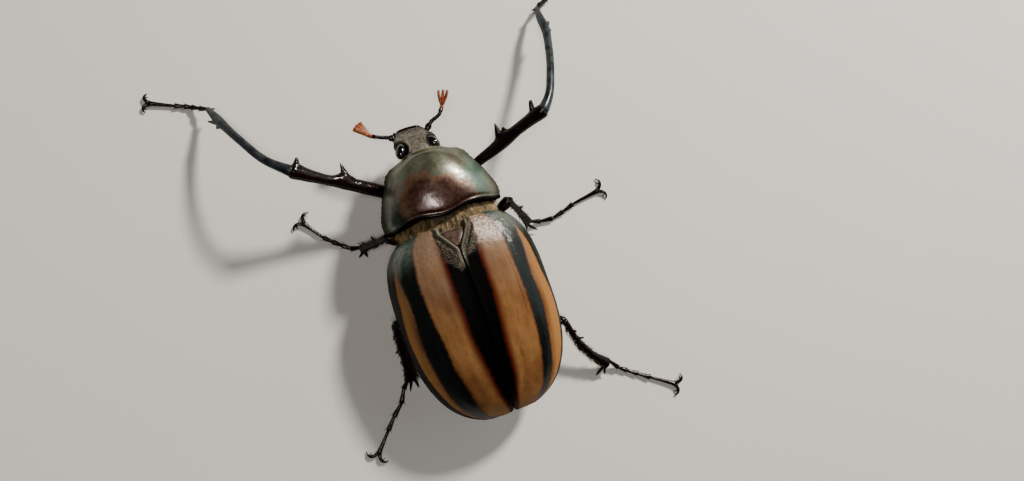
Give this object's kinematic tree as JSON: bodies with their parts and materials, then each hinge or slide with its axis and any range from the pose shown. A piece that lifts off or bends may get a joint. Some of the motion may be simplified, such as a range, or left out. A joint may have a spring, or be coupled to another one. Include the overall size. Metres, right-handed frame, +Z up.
{
  "type": "long-armed scarab beetle",
  "caption": "Life-size still model of a striped long-armed scarab beetle standing with its long fore legs spread forward.",
  "frame": {"origin": "on the floor, under the middle of the footprint of the whole beetle with its spread legs", "axes": "+Z up from the floor, the head points to -Y, +X is the beetle's left side"},
  "size_m": [0.097, 0.0968, 0.0199],
  "materials": {
    "wing_case": "satin tan shell with dark stripes",
    "bronze_shell": "glossy bronze-green and maroon shell",
    "grey_shell": "finely pitted satin shell",
    "purple_shell": "smooth satin shell",
    "black_shell": "glossy maroon-black shell",
    "steel_shell": "glossy blue-black shell",
    "brown_fur": "dense golden-brown hair on dark shell",
    "eye": "mirror-smooth black",
    "feeler_leaf": "satin orange-brown"
  },
  "bodies": {
    "root": {"elytron_left": "wing_case", "elytron_right": "wing_case", "pronotum": "bronze_shell", "head": "grey_shell", "scutellum": "purple_shell", "abdomen": "black_shell", "pygidium": "black_shell", "mouthparts": "black_shell", "palp_left": "black_shell", "palp_right": "black_shell", "feeler_left": "black_shell", "feeler_right": "black_shell", "coxa_fore_left": "black_shell", "femur_fore_left": "black_shell", "tarsus_fore_left": "black_shell", "coxa_fore_right": "black_shell", "femur_fore_right": "black_shell", "tarsus_fore_right": "black_shell", "coxa_mid_left": "black_shell", "femur_mid_left": "black_shell", "tarsus_mid_left": "black_shell", "coxa_mid_right": "black_shell", "femur_mid_right": "black_shell", "tarsus_mid_right": "black_shell", "coxa_hind_left": "black_shell", "femur_hind_left": "black_shell", "tarsus_hind_left": "black_shell", "coxa_hind_right": "black_shell", "femur_hind_right": "black_shell", "tarsus_hind_right": "black_shell", "tibia_mid_left": "black_shell", "tibia_mid_right": "black_shell", "tibia_hind_left": "black_shell", "tibia_hind_right": "black_shell", "tibia_fore_left": "steel_shell", "tibia_fore_right": "steel_shell", "prothorax": "brown_fur", "mesothorax": "brown_fur", "metathorax": "brown_fur", "eye_left": "eye", "eye_right": "eye", "club_left": "feeler_leaf", "club_right": "feeler_leaf"}
  },
  "joints": []
}
